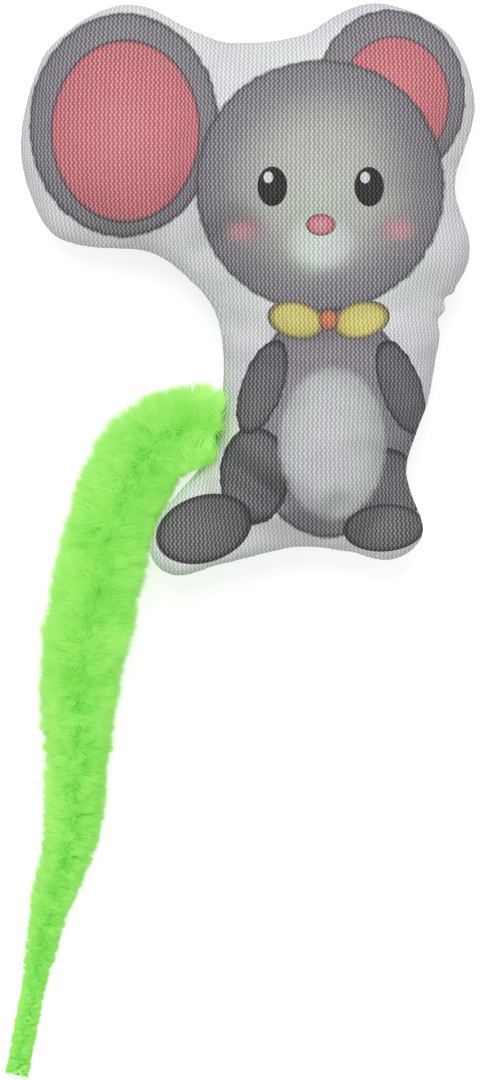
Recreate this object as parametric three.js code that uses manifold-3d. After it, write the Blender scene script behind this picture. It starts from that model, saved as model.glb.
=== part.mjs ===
// A catnip mouse: a flat stuffed cushion, cut and sewn as a mouse, with a long plush tail held in its
// side seam. It lies on its back with the printed side up and the ears towards +Y. The origin is on the
// resting face, under the middle of the belly. Lengths are in millimetres and angles in degrees.

import * as THREE from 'three';
import { mergeVertices } from 'three/addons/utils/BufferGeometryUtils.js';
import Module from 'manifold-3d';

const wasm = await Module();
wasm.setup();

// Fits
const clearance = 0.3;
const overrun = 4;

// Cushion
const mouseWidth = 101.2;
const mouseLength = 127.8;
const crownHeight = 18;
const crownReach = 25;
const edgeHeight = 0.9;
const restDepth = 0.5;
const clothThickness = 0.7;
const clothFacet = 5.4;
const outlineStep = 4.4;
const threadDiameter = 0.5;
const threadStep = 5;
const threadSides = 5;

// The outline runs clockwise from above, from the tail round the ears and back by the feet. Each point
// is given in shares of the width from the left and of the length from the feet.
const outlineShares = [
  [0.427, 0.256], [0.443, 0.378], [0.433, 0.444], [0.4, 0.492], [0.353, 0.53],
  [0.285, 0.563], [0.081, 0.589], [0.016, 0.674], [0, 0.778], [0.067, 0.926],
  [0.235, 0.998], [0.448, 0.934], [0.614, 0.945], [0.696, 0.981], [0.787, 1],
  [0.945, 0.942], [1, 0.816], [0.956, 0.681], [0.99, 0.581], [0.972, 0.524],
  [0.935, 0.485], [0.917, 0.395], [0.899, 0.31], [0.85, 0.187], [0.886, 0.075],
  [0.818, 0.029], [0.724, 0.043], [0.609, 0.051], [0.447, 0.022], [0.316, 0.006],
  [0.301, 0.092], [0.402, 0.205],
];
const originShares = [0.684, 0.274];

// Where one part's stuffing ends and the next begins, as a line between two such points. What is named
// lies to the left of the line.
const stuffingCutShares = {
  leftEar: [[0.3, 0.55], [0.46, 0.94]],
  rightEar: [[0.6, 0.96], [0.97, 0.69]],
  belly: [[0.95, 0.475], [0.4, 0.475]],
  leftFoot: [[0.588, 0.043], [0.401, 0.206]],
  rightFoot: [[0.855, 0.192], [0.61, 0.043]],
};

// How much less full the ears and the feet are, and the width of the band in which that comes about
const slackShares = { leftEar: 0.23, rightEar: 0.13, leftFoot: 0.25, rightFoot: 0.08 };
const slackBand = 24;

// How far the cloth dips where one part's stuffing meets the next, and how wide that crease is
const creaseShares = { leftEar: 0.14, rightEar: 0.13, belly: 0.07 };
const creaseBand = 20;

// The stretch of seam that was closed after stuffing, in shares of the way round the outline
const closingShares = [0.62, 0.67];

// Catnip pouch
const pouchDiameter = 30;
const pouchThickness = 9;
const pouchSheet = 0.4;
const pouchSides = 24;
const pouchBands = 10;

// Tail
const tailLength = 161;
const pileRadius = 10;
const coreDiameter = 1.8;
const tailFacet = 7;
const tailSides = 12;
const coreSides = 8;
const dropLength = 34;
const anchorWidth = 8;
const anchorThickness = 0.5;
const anchorReach = 4;
const tackAt = 1.7;
const bindingLength = 2.6;
const bindingWall = 0.6;
const coreEnd = 0.8;

// The tail's middle line from its root, in shares of its length
const tailRouteShares = [
  [0, 0], [-0.039, 0.003], [-0.094, -0.025], [-0.13, -0.079], [-0.151, -0.137],
  [-0.167, -0.214], [-0.181, -0.29], [-0.19, -0.373], [-0.191, -0.47], [-0.201, -0.568],
  [-0.226, -0.651], [-0.249, -0.756], [-0.276, -0.895],
];

// The pile's radius along the tail: share of its length, then share of its full radius
const taperShares = [
  [0, 0.88], [0.06, 0.97], [0.15, 1], [0.42, 1], [0.55, 0.78],
  [0.68, 0.64], [0.75, 0.5], [0.88, 0.3], [1, 0.29],
];

// The places where the tail bends, how far it bends there, and the stretch that follows
const bends = [
  { name: 'sweep', atShare: 0.074, most: 80, stretch: 'root' },
  { name: 'lift', atShare: 0.21, most: 70, stretch: 'upper' },
  { name: 'middle', atShare: 0.426, most: 35, stretch: 'middle' },
  { name: 'tip', atShare: 0.648, most: 40, stretch: 'tip' },
];

// How much further each bend's pieces are kept apart for, because the tail curves there
const spareBend = 8;

// Derived sizes
const seamGap = threadDiameter + 2 * clearance;
const stuffingInset = clothThickness + clearance + threadDiameter + clearance;
const stuffingDrop = clothThickness + clearance;
const toolSize = 2 * (mouseLength + tailLength);

function material(color, roughness) {
  return new THREE.MeshStandardMaterial({ color, roughness, metalness: 0 });
}

function solidOf(geometry) {
  geometry.deleteAttribute('normal');
  geometry.deleteAttribute('uv');
  const merged = mergeVertices(geometry);
  return new wasm.Manifold(new wasm.Mesh({
    numProp: 3,
    vertProperties: new Float32Array(merged.attributes.position.array),
    triVerts: new Uint32Array(merged.index.array),
  }));
}

function meshOf(name, solid, look) {
  const { vertProperties, triVerts } = solid.getMesh();
  const geometry = new THREE.BufferGeometry();
  geometry.setAttribute('position', new THREE.BufferAttribute(vertProperties, 3));
  geometry.setIndex(new THREE.BufferAttribute(triVerts, 1));
  geometry.computeVertexNormals();
  const mesh = new THREE.Mesh(geometry, look);
  mesh.name = name;
  return mesh;
}

function place([across, along]) {
  return new THREE.Vector2(
    (across - originShares[0]) * mouseWidth,
    (along - originShares[1]) * mouseLength,
  );
}

// A box that lies wholly above a height, or wholly below it
function above(height) {
  const box = new THREE.BoxGeometry(toolSize, toolSize, toolSize);
  return solidOf(box.translate(0, 0, height + toolSize / 2));
}

function below(height) {
  const box = new THREE.BoxGeometry(toolSize, toolSize, toolSize);
  return solidOf(box.translate(0, 0, height - toolSize / 2));
}

// A box whose face lies half a clearance to the left of a line, or to the right of it
function beside(line, side) {
  const [from, to] = line.map(place);
  const box = new THREE.BoxGeometry(toolSize, toolSize, toolSize);
  box.translate(0, side * (toolSize / 2 + clearance / 2), 0);
  box.rotateZ(to.sub(from).angle());
  return solidOf(box.translate(from.x, from.y, 0));
}

const leftOf = (line) => beside(line, 1);
const rightOf = (line) => beside(line, -1);

// Outline of the cushion

const outlineCurve = new THREE.CatmullRomCurve3(
  outlineShares.map((shares) => new THREE.Vector3(...place(shares).toArray(), 0)),
  true,
  'centripetal',
);

// Evenly spaced points along the outline, moved inwards by an inset
function outlineLoop(step, inset) {
  const count = Math.round(outlineCurve.getLength() / step);
  const loop = [];
  for (let i = 0; i < count; i += 1) {
    loop.push(outlinePoint(i / count, inset));
  }
  return loop;
}

function outlinePoint(share, inset) {
  const at = (share + 1) % 1;
  const point = outlineCurve.getPointAt(at);
  const along = outlineCurve.getTangentAt(at);
  return new THREE.Vector2(point.x + along.y * inset, point.y - along.x * inset);
}

const fineLoop = outlineLoop(outlineStep / 4, 0);

function isInside(x, y) {
  let inside = false;
  for (let i = 0; i < fineLoop.length; i += 1) {
    const a = fineLoop[i];
    const b = fineLoop[(i + 1) % fineLoop.length];
    if ((a.y > y) !== (b.y > y) && x < a.x + ((b.x - a.x) * (y - a.y)) / (b.y - a.y)) {
      inside = !inside;
    }
  }
  return inside;
}

// How deep a point lies within the outline, as the radius of the round patch that it would be the middle
// of: the outline's pull on the point, which falls with the square of the distance, turned into a length
function depthOf(x, y) {
  let pull = 0;
  for (let i = 0; i < fineLoop.length; i += 1) {
    const a = fineLoop[i];
    const b = fineLoop[(i + 1) % fineLoop.length];
    const dx = x - (a.x + b.x) / 2;
    const dy = y - (a.y + b.y) / 2;
    pull += a.distanceTo(b) / (dx * dx + dy * dy);
  }
  return (2 * Math.PI) / pull;
}

// How far a point lies to the left of a line
function leftwardsOf(line, x, y) {
  const [from, to] = line.map(place);
  const along = to.sub(from).normalize();
  return along.cross(new THREE.Vector2(x, y).sub(from));
}

function fullnessAt(x, y) {
  let fullness = 1;
  for (const [part, slack] of Object.entries(slackShares)) {
    const leftwards = leftwardsOf(stuffingCutShares[part], x, y);
    fullness *= 1 - slack * THREE.MathUtils.smoothstep(leftwards, -slackBand / 2, slackBand / 2);
  }
  for (const [part, crease] of Object.entries(creaseShares)) {
    const leftwards = leftwardsOf(stuffingCutShares[part], x, y);
    fullness *= 1 - crease * Math.exp(-(((2 * leftwards) / creaseBand) ** 2));
  }
  return fullness;
}

// Half of the cushion's thickness: it swells from the seam to a crown
function swellAt(x, y) {
  const swell = crownHeight * fullnessAt(x, y) * Math.tanh(depthOf(x, y) / crownReach);
  return edgeHeight + (isInside(x, y) ? swell : -swell);
}

const seamHeight = swellAt(0, 0) - restDepth;

const swellGrid = [];
const gridColumns = Math.ceil(mouseWidth / clothFacet) + 2;
const gridRows = Math.ceil(mouseLength / clothFacet) + 2;
const gridCorner = place([0, 0]).subScalar(clothFacet);
for (let row = 0; row <= gridRows; row += 1) {
  for (let column = 0; column <= gridColumns; column += 1) {
    const x = gridCorner.x + column * clothFacet;
    const y = gridCorner.y + row * clothFacet;
    swellGrid.push({ x, y, swell: swellAt(x, y) });
  }
}

// The cushion's space, less a drop from its faces and an inset from its outline. The back is flat where
// it rests.
function cushionSpace(inset, drop) {
  const positions = [];
  const index = [];
  const thinnest = edgeHeight / 8;
  for (const side of [1, -1]) {
    for (const { x, y, swell } of swellGrid) {
      const height = Math.max(swell - drop, thinnest);
      positions.push(x, y, seamHeight + (side > 0 ? height : -Math.min(height, seamHeight - drop)));
    }
  }
  const perRow = gridColumns + 1;
  const perSide = swellGrid.length;
  const quad = (a, b, c, d) => index.push(a, b, c, a, c, d);
  for (let row = 0; row < gridRows; row += 1) {
    for (let column = 0; column < gridColumns; column += 1) {
      const a = row * perRow + column;
      quad(a, a + 1, a + 1 + perRow, a + perRow);
      quad(perSide + a, perSide + a + perRow, perSide + a + 1 + perRow, perSide + a + 1);
    }
  }
  const last = gridRows * perRow;
  for (let column = 0; column < gridColumns; column += 1) {
    quad(column, perSide + column, perSide + column + 1, column + 1);
    quad(last + column, last + column + 1, perSide + last + column + 1, perSide + last + column);
  }
  for (let row = 0; row < gridRows; row += 1) {
    const left = row * perRow;
    const right = left + gridColumns;
    quad(left, left + perRow, perSide + left + perRow, perSide + left);
    quad(right, perSide + right, perSide + right + perRow, right + perRow);
  }
  const geometry = new THREE.BufferGeometry();
  geometry.setAttribute('position', new THREE.Float32BufferAttribute(positions, 3));
  geometry.setIndex(index);
  const block = solidOf(geometry);
  const prism = new THREE.ExtrudeGeometry(new THREE.Shape(outlineLoop(outlineStep, inset)), {
    depth: seamHeight + crownHeight + 2 * overrun,
    bevelEnabled: false,
  });
  return block.intersect(solidOf(prism.translate(0, 0, -overrun)));
}

// A thread of a few sides along a curve
function threadAlong(curve, step) {
  const section = new THREE.Shape();
  for (let i = 0; i < threadSides; i += 1) {
    const angle = (2 * Math.PI * i) / threadSides;
    const x = (threadDiameter / 2) * Math.cos(angle);
    const y = (threadDiameter / 2) * Math.sin(angle);
    if (i === 0) {
      section.moveTo(x, y);
    } else {
      section.lineTo(x, y);
    }
  }
  const steps = Math.round(curve.getLength() / step);
  return solidOf(new THREE.ExtrudeGeometry(section, { extrudePath: curve, steps, bevelEnabled: false }));
}

function seamThread(fromShare, toShare) {
  const count = Math.round(((toShare - fromShare) * outlineCurve.getLength()) / threadStep);
  const inset = clothThickness + threadDiameter / 2;
  const points = [];
  for (let i = 0; i <= count; i += 1) {
    const at = outlinePoint(fromShare + ((toShare - fromShare) * i) / count, inset);
    points.push(new THREE.Vector3(at.x, at.y, seamHeight));
  }
  return threadAlong(new THREE.CatmullRomCurve3(points), threadStep);
}

// Tail

const root = place(outlineShares[0]);
const tailCurve = new THREE.CatmullRomCurve3(
  tailRouteShares.map(([x, y]) => new THREE.Vector3(root.x + x * tailLength, root.y + y * tailLength, 0)),
);

function pileRadiusAt(distance) {
  const share = Math.min(1, Math.max(0, distance / tailLength));
  const next = Math.max(1, taperShares.findIndex(([at]) => at >= share));
  const [fromShare, fromRadius] = taperShares[next - 1];
  const [toShare, toRadius] = taperShares[next];
  const between = (share - fromShare) / (toShare - fromShare);
  return pileRadius * (fromRadius + between * (toRadius - fromRadius));
}

// The tail's middle line leaves the seam at its height and comes down until the pile rests
function tailPoint(distance) {
  const point = tailCurve.getPointAt(Math.min(1, Math.max(0, distance / tailLength)));
  const fall = THREE.MathUtils.smoothstep(distance, 0, dropLength);
  point.z = THREE.MathUtils.lerp(seamHeight, pileRadiusAt(distance) - restDepth, fall);
  return point;
}

function tailFrame(distance) {
  const nudge = coreDiameter / 2;
  const from = Math.max(0, distance - nudge);
  const along = tailPoint(Math.min(tailLength, distance + nudge)).sub(tailPoint(from)).normalize();
  const side = new THREE.Vector3(0, 0, 1).cross(along).normalize();
  return { along, side, up: along.clone().cross(side) };
}

// A closed tube along the tail, from one distance to another, whose radius may change on the way
function tailTube(from, to, radiusAt, sides) {
  const steps = Math.max(1, Math.round((to - from) / tailFacet));
  const positions = [];
  const index = [];
  for (let step = 0; step <= steps; step += 1) {
    const distance = from + ((to - from) * step) / steps;
    const centre = tailPoint(distance);
    const { side, up } = tailFrame(distance);
    for (let i = 0; i < sides; i += 1) {
      const angle = (2 * Math.PI * (i + 0.5)) / sides;
      const radius = radiusAt(distance);
      const point = centre.clone();
      point.addScaledVector(side, radius * Math.cos(angle));
      point.addScaledVector(up, radius * Math.sin(angle));
      positions.push(...point.toArray());
    }
  }
  const first = positions.length / 3;
  positions.push(...tailPoint(from).toArray(), ...tailPoint(to).toArray());
  for (let i = 0; i < sides; i += 1) {
    const next = (i + 1) % sides;
    const end = steps * sides;
    index.push(first, next, i);
    index.push(first + 1, end + i, end + next);
    for (let step = 0; step < steps; step += 1) {
      const a = step * sides;
      index.push(a + i, a + next, a + sides + next, a + i, a + sides + next, a + sides + i);
    }
  }
  const geometry = new THREE.BufferGeometry();
  geometry.setAttribute('position', new THREE.Float32BufferAttribute(positions, 3));
  geometry.setIndex(index);
  return solidOf(geometry);
}

const coreRadius = () => coreDiameter / 2;
const boreRadius = () => coreDiameter / 2 + clearance;
const bindingRadius = () => coreDiameter / 2 + clearance + bindingWall;

const bendAt = ({ atShare }) => atShare * tailLength;

// How much of the tail on each side of a bend has to give way when it bends fully
function giveAt(bend, radiusAt) {
  const { most } = bend;
  return radiusAt(bendAt(bend)) * Math.tan(THREE.MathUtils.degToRad((most + spareBend) / 2)) + clearance;
}

function pile(from, to) {
  const bore = tailTube(from - overrun, to + overrun, boreRadius, coreSides);
  return tailTube(from, to, pileRadiusAt, tailSides).subtract(bore).intersect(above(0));
}

// Build the cushion

const outer = cushionSpace(0, 0);
const cover = outer.subtract(cushionSpace(clothThickness, clothThickness));
const stuffing = cushionSpace(stuffingInset, stuffingDrop);
const upperHalf = above(seamHeight + seamGap / 2);
const lowerHalf = below(seamHeight - seamGap / 2);

const printedKnit = material(0xa3a1a4, 0.9);
const plainKnit = material(0xe2e5e6, 0.9);
const fibreFill = material(0xf4f4f0, 1);
const whiteThread = material(0xeeeeea, 0.7);

const mouse = new THREE.Group();
mouse.add(meshOf('front_panel', cover.intersect(upperHalf), printedKnit));
mouse.add(meshOf('back_panel', cover.intersect(lowerHalf), plainKnit.clone()));

const cuts = stuffingCutShares;
const overNeck = stuffing.intersect(rightOf(cuts.belly));
const underNeck = stuffing.intersect(leftOf(cuts.belly));
const belly = underNeck.intersect(rightOf(cuts.leftFoot)).intersect(rightOf(cuts.rightFoot));

function pouchSpace(shrink) {
  const ball = new THREE.SphereGeometry(1, pouchSides, pouchBands);
  const radius = pouchDiameter / 2 - shrink;
  return solidOf(ball.scale(radius, radius, pouchThickness / 2 - shrink).translate(0, 0, seamHeight));
}

const bellyAroundPouch = belly.subtract(pouchSpace(-clearance));
const pouchCover = pouchSpace(0).subtract(pouchSpace(pouchSheet));

const stuffingParts = {
  head_stuffing: overNeck.intersect(rightOf(cuts.leftEar)).intersect(rightOf(cuts.rightEar)),
  left_ear_stuffing: overNeck.intersect(leftOf(cuts.leftEar)),
  right_ear_stuffing: overNeck.intersect(leftOf(cuts.rightEar)),
  belly_stuffing_front: bellyAroundPouch.intersect(upperHalf),
  belly_stuffing_back: bellyAroundPouch.intersect(lowerHalf),
  left_foot_stuffing: underNeck.intersect(leftOf(cuts.leftFoot)),
  right_foot_stuffing: underNeck.intersect(leftOf(cuts.rightFoot)),
};
for (const [name, solid] of Object.entries(stuffingParts)) {
  mouse.add(meshOf(name, solid, fibreFill.clone()));
}

const pouchCloth = material(0xd9d2bd, 0.95);
const pouchFront = pouchCover.intersect(above(seamHeight + clearance / 2));
const pouchBack = pouchCover.intersect(below(seamHeight - clearance / 2));
mouse.add(meshOf('catnip_pouch_front', pouchFront, pouchCloth));
mouse.add(meshOf('catnip_pouch_back', pouchBack, pouchCloth.clone()));
mouse.add(meshOf('dried_catnip', pouchSpace(pouchSheet + clearance), material(0x75803f, 1)));

// Build the threads

const tailSideShare = (anchorWidth / 2 + 2 * clearance) / outlineCurve.getLength();
const closingGapShare = clearance / outlineCurve.getLength();
const upperSeam = seamThread(tailSideShare, closingShares[0] - closingGapShare);
const lowerSeam = seamThread(closingShares[1] + closingGapShare, 1 - tailSideShare);
mouse.add(meshOf('seam_thread_upper', upperSeam, whiteThread));
mouse.add(meshOf('seam_thread_lower', lowerSeam, whiteThread.clone()));
mouse.add(meshOf('closing_thread', seamThread(...closingShares), whiteThread.clone()));

// Build the tail

const tail = new THREE.Group();
const greenPile = material(0x86ee55, 0.95);
const darkCord = material(0x3b4a35, 0.8);
const pileGives = bends.map((bend) => giveAt(bend, pileRadiusAt));
const coreGives = bends.map((bend) => giveAt(bend, coreRadius));
const pileEnd = tailLength - coreEnd - bindingLength - clearance;
const aroundCushion = cushionSpace(-clearance, -clearance);

// The core's flattened end lies in the seam as deep as the pouch, and its round part starts just outside
const anchorDepth = -root.x - pouchDiameter / 2 - clearance;
const anchor = new THREE.BoxGeometry(anchorDepth + anchorReach, anchorWidth, anchorThickness);
anchor.translate(root.x + (anchorDepth - anchorReach) / 2, root.y, seamHeight);
const rootCoreStart = tackAt + threadDiameter / 2 + clearance;
const rootCore = tailTube(rootCoreStart, bendAt(bends[0]) - coreGives[0], coreRadius, coreSides);
tail.add(meshOf('tail_anchor', solidOf(anchor).add(rootCore), darkCord));

// A loop of thread drawn squarely round the anchor, open where its two ends meet
const tackPoints = [];
const tackSteps = 24;
const tackLift = threadDiameter / 2 + clearance;
const squared = (value) => Math.sign(value) * Math.sqrt(Math.abs(value));
for (let i = 0; i < tackSteps; i += 1) {
  const angle = (2 * Math.PI * i) / tackSteps;
  tackPoints.push(new THREE.Vector3(
    root.x - tackAt,
    root.y + (anchorWidth / 2 + tackLift) * squared(Math.cos(angle)),
    seamHeight + (anchorThickness / 2 + tackLift) * squared(Math.sin(angle)),
  ));
}
const tackCurve = new THREE.CatmullRomCurve3(tackPoints);
tail.add(meshOf('tack_thread', threadAlong(tackCurve, threadDiameter * 2), whiteThread.clone()));

const anchorRoom = solidOf(new THREE.BoxGeometry(
  2 * (anchorReach + clearance),
  anchorWidth + 2 * (threadDiameter + 2 * clearance),
  anchorThickness + 2 * (threadDiameter + 2 * clearance),
).translate(root.x, root.y, seamHeight));

bends.forEach((bend, i) => {
  const at = bendAt(bend);
  const following = bends[i + 1];
  const pileTo = following ? bendAt(following) - pileGives[i + 1] : pileEnd;
  const coreTo = following ? bendAt(following) - coreGives[i + 1] : tailLength;
  const stretch = pile(at + pileGives[i], pileTo).subtract(aroundCushion);
  const core = tailTube(at + coreGives[i], coreTo, coreRadius, coreSides);
  tail.add(meshOf(`tail_pile_${bend.stretch}`, stretch, greenPile.clone()));
  tail.add(meshOf(`tail_core_${bend.stretch}`, core, darkCord.clone()));
  const give = pileGives[i] - clearance;
  const collarFrom = i === 0 ? 0 : at - give;
  const collar = pile(collarFrom, at + give).subtract(aroundCushion).subtract(anchorRoom);
  tail.add(meshOf(`tail_collar_${bend.name}`, collar, greenPile.clone()));
});

const bindingStart = tailLength - coreEnd - bindingLength;
const binding = tailTube(bindingStart, tailLength - coreEnd, bindingRadius, coreSides)
  .subtract(tailTube(bindingStart - overrun, tailLength, boreRadius, coreSides))
  .intersect(above(0));
tail.add(meshOf('tip_binding', binding, darkCord.clone()));

const catnipMouse = new THREE.Group();
catnipMouse.add(mouse, tail);

export default catnipMouse;
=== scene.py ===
# %% [markdown]
# A catnip mouse, from the inside out. The toy is a flat cushion of knitted cloth, printed on its face,
# with a long tail of green plush held in its side seam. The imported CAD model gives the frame: where each
# piece lies and how it moves. This script makes the pieces that a person sees, in the same place.

# %% Load the frame
import math

import bmesh
import bpy
import numpy as np
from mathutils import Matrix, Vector, geometry, noise
from mathutils.bvhtree import BVHTree
from mathutils.kdtree import KDTree


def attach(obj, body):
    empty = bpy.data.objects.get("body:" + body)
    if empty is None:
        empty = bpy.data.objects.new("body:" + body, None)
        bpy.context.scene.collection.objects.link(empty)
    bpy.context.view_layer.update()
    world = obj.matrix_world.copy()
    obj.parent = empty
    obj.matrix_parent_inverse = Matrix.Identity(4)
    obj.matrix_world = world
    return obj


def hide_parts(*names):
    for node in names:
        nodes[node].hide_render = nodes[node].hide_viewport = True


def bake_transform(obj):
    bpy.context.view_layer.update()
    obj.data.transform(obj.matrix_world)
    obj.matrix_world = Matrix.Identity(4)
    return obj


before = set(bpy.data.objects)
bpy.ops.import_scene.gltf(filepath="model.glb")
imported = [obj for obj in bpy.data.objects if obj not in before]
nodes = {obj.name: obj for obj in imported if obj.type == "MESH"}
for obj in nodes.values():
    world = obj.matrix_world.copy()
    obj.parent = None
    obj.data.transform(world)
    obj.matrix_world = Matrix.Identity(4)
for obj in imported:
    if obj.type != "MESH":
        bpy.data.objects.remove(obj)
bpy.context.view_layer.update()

MM = 0.001

# %% [markdown]
# In Blender an object carries data, such as a mesh or a lamp, and is seen only once a collection of the
# scene holds it. One helper takes both steps for everything that is made below.


# %% Helper for objects
def linked(name, data):
    """A new object in the scene."""
    piece = bpy.data.objects.new(name, data)
    bpy.context.scene.collection.objects.link(piece)
    return piece


# %% [markdown]
# The toy lies on its back and is seen from straight above. Such pictures are taken from far away with a
# long lens, so the ears don't lean outwards. The lens follows from the length of the view and the distance.

# %% Camera
VIEW_MIDDLE = Vector((-20.44, -26.67, 0)) * MM
VIEW_LENGTH = 240 * MM
CAMERA_HEIGHT = 1.6
SENSOR = 24.0
SEAM_HEIGHT = 13.8 * MM

camera_data = bpy.data.cameras.new("camera")
camera_data.sensor_fit = "VERTICAL"
camera_data.sensor_height = SENSOR
camera_data.lens = SENSOR * CAMERA_HEIGHT / VIEW_LENGTH
camera = linked("camera", camera_data)
camera.location = VIEW_MIDDLE + Vector((0, 0, CAMERA_HEIGHT + SEAM_HEIGHT))
bpy.context.scene.camera = camera
print("camera: lens", camera_data.lens, "mm")

# %% [markdown]
# Node materials repeat the same few steps: a sum, a blend of two colours, a noise. A small helper keeps
# each of them to one line, so that a material below reads like a recipe.


# %% Helper for materials
def linear(red, green, blue):
    """A colour as it is seen on a screen, 0 to 255, turned into the light values that shaders use."""
    parts = []
    for value in (red / 255, green / 255, blue / 255):
        parts.append(value / 12.92 if value <= 0.04045 else ((value + 0.055) / 1.055) ** 2.4)
    return (*parts, 1.0)


def grey(value):
    return (value, value, value, 1.0)


class Recipe:
    """The nodes of one material. Each call adds a node and returns its output."""

    def __init__(self, name):
        self.material = bpy.data.materials.new(name)
        self.material.use_nodes = True
        self.tree = self.material.node_tree
        self.shader = self.tree.nodes["Principled BSDF"]

    def add(self, kind, settings=None, **inputs):
        """Adds a node. An input is named as in Blender, or i0, i1, i2 by its number."""
        node = self.tree.nodes.new("ShaderNode" + kind)
        for key, value in (settings or {}).items():
            setattr(node, key, value)
        for key, value in inputs.items():
            name = key.replace("_", " ")
            socket = node.inputs[int(key[1:])] if key[1:].isdigit() else node.inputs[name]
            self.feed(socket, value)
        return node

    def feed(self, socket, value):
        if isinstance(value, bpy.types.NodeSocket):
            self.tree.links.new(value, socket)
        else:
            socket.default_value = value

    def place(self):
        return self.add("TexCoord").outputs["Object"]

    def moved(self, vector, scale=(1, 1, 1), turn=0.0):
        inputs = {"Vector": vector, "Scale": scale, "Rotation": (0, 0, turn)}
        return self.add("Mapping", None, **inputs).outputs["Vector"]

    def math(self, operation, a, b=0.0, c=0.0):
        return self.add("Math", {"operation": operation}, i0=a, i1=b, i2=c).outputs["Value"]

    def vector(self, operation, a, b=(0, 0, 0)):
        node = self.add("VectorMath", {"operation": operation}, i0=a, i1=b)
        return node.outputs["Value" if operation == "LENGTH" else "Vector"]

    def noise(self, vector, scale, detail=2.0, roughness=0.5, output="Fac"):
        inputs = {"Vector": vector, "Scale": scale, "Detail": detail, "Roughness": roughness}
        return self.add("TexNoise", None, **inputs).outputs[output]

    def ramp(self, factor, stops):
        node = self.add("ValToRGB", None, Fac=factor)
        elements = node.color_ramp.elements
        while len(elements) < len(stops):
            elements.new(0.5)
        for element, (position, color) in zip(elements, stops):
            element.position = position
            element.color = color
        return node.outputs["Color"]

    def blend(self, factor, a, b, kind="MIX"):
        node = self.add("Mix", {"data_type": "RGBA", "blend_type": kind, "clamp_factor": True})
        self.feed(node.inputs["Factor"], factor)
        self.feed(node.inputs[6], a)
        self.feed(node.inputs[7], b)
        return node.outputs[2]

    def bump(self, height, distance, strength):
        inputs = {"Height": height, "Distance": distance, "Strength": strength}
        self.feed(self.shader.inputs["Normal"], self.add("Bump", None, **inputs).outputs["Normal"])

    def finish(self, color, **values):
        """Sets the shader's colour and its own numbers."""
        self.feed(self.shader.inputs["Base Color"], color)
        for key, value in values.items():
            self.shader.inputs[key.replace("_", " ")].default_value = value
        return self.material


def seen(stops):
    """Stops of a ramp from colours as seen on a screen."""
    return [(at, linear(*rgb)) for at, rgb in stops]


# %% [markdown]
# The cloth is cut as the mouse's outline. A few points, in shares of the toy's width and length, carry a
# smooth curve. A Catmull-Rom curve runs through its points, so each one can be read off a pattern.

# %% Outline of the cut
MOUSE_WIDTH = 101.2 * MM
MOUSE_LENGTH = 127.8 * MM
ORIGIN_SHARES = (0.684, 0.274)
OUTLINE_SHARES = [
    (0.427, 0.256), (0.443, 0.378), (0.433, 0.444), (0.4, 0.492), (0.353, 0.53),
    (0.285, 0.563), (0.081, 0.589), (0.016, 0.674), (0, 0.778), (0.067, 0.926),
    (0.235, 0.998), (0.448, 0.934), (0.614, 0.945), (0.696, 0.981), (0.787, 1),
    (0.945, 0.942), (1, 0.816), (0.956, 0.681), (0.99, 0.581), (0.972, 0.524),
    (0.935, 0.485), (0.917, 0.395), (0.899, 0.31), (0.85, 0.187), (0.886, 0.075),
    (0.818, 0.029), (0.724, 0.043), (0.609, 0.051), (0.447, 0.022), (0.328, 0.003),
    (0.284, 0.035), (0.296, 0.097), (0.395, 0.197),
]
CURVE_STEPS = 40
CLOTH_SPACING = 1.6 * MM


def place(across, along):
    """A point of the pattern, from its share of the width and of the length."""
    x = (across - ORIGIN_SHARES[0]) * MOUSE_WIDTH
    y = (along - ORIGIN_SHARES[1]) * MOUSE_LENGTH
    return Vector((x, y, 0))


def curve_span(four, share):
    """A point between the middle two of four points, at a share of the way."""
    knots = [0.0]
    for a, b in zip(four, four[1:]):
        knots.append(knots[-1] + math.sqrt((b - a).length))
    at = knots[1] + (knots[2] - knots[1]) * share

    def between(a, b, start, end):
        return a.lerp(b, (at - start) / (end - start))

    first = [between(four[i], four[i + 1], knots[i], knots[i + 1]) for i in range(3)]
    second = [between(first[i], first[i + 1], knots[i], knots[i + 2]) for i in range(2)]
    return between(second[0], second[1], knots[1], knots[2])


def curve_through(points, closed, spacing):
    """Evenly spaced points on a smooth curve through the given ones."""
    if closed:
        around = [points[-1], *points, *points[:2]]
    else:
        around = [2 * points[0] - points[1], *points, 2 * points[-1] - points[-2]]
    dense = []
    for four in zip(around, around[1:], around[2:], around[3:]):
        dense += [curve_span(four, i / CURVE_STEPS) for i in range(CURVE_STEPS)]
    dense.append(dense[0] if closed else points[-1])
    travelled = [0.0]
    for a, b in zip(dense, dense[1:]):
        travelled.append(travelled[-1] + (b - a).length)
    count = round(travelled[-1] / spacing)
    out, i = [], 0
    for k in range(count if closed else count + 1):
        distance = travelled[-1] * k / count
        while i < len(dense) - 2 and travelled[i + 1] < distance:
            i += 1
        span = travelled[i + 1] - travelled[i]
        out.append(dense[i].lerp(dense[i + 1], (distance - travelled[i]) / span))
    return out


outline = curve_through([place(*shares) for shares in OUTLINE_SHARES], True, CLOTH_SPACING)
SEAM_COUNT = len(outline)
print("outline:", SEAM_COUNT, "points,", round(SEAM_COUNT * CLOTH_SPACING / MM), "mm round")

# %% [markdown]
# A sewing machine leaves the edge nearly smooth. The short stretch that was closed last, after stuffing,
# was folded in and caught by hand, so its edge steps in and out.

# %% Uneven edge
EDGE_WAVE = 0.25 * MM
EDGE_WAVE_SIZE = 7 * MM
CLOSING_SHARES = (0.62, 0.67)
# Share of the way round, and how many millimetres the edge steps out there
CLOSING_STEPS = [
    (0.62, 0), (0.632, 0), (0.6365, 1.3), (0.6405, -0.5), (0.648, 1.0), (0.652, -1.0),
    (0.659, 0.2), (0.67, 0),
]
step_at, step_out = np.array(CLOSING_STEPS).T


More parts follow.
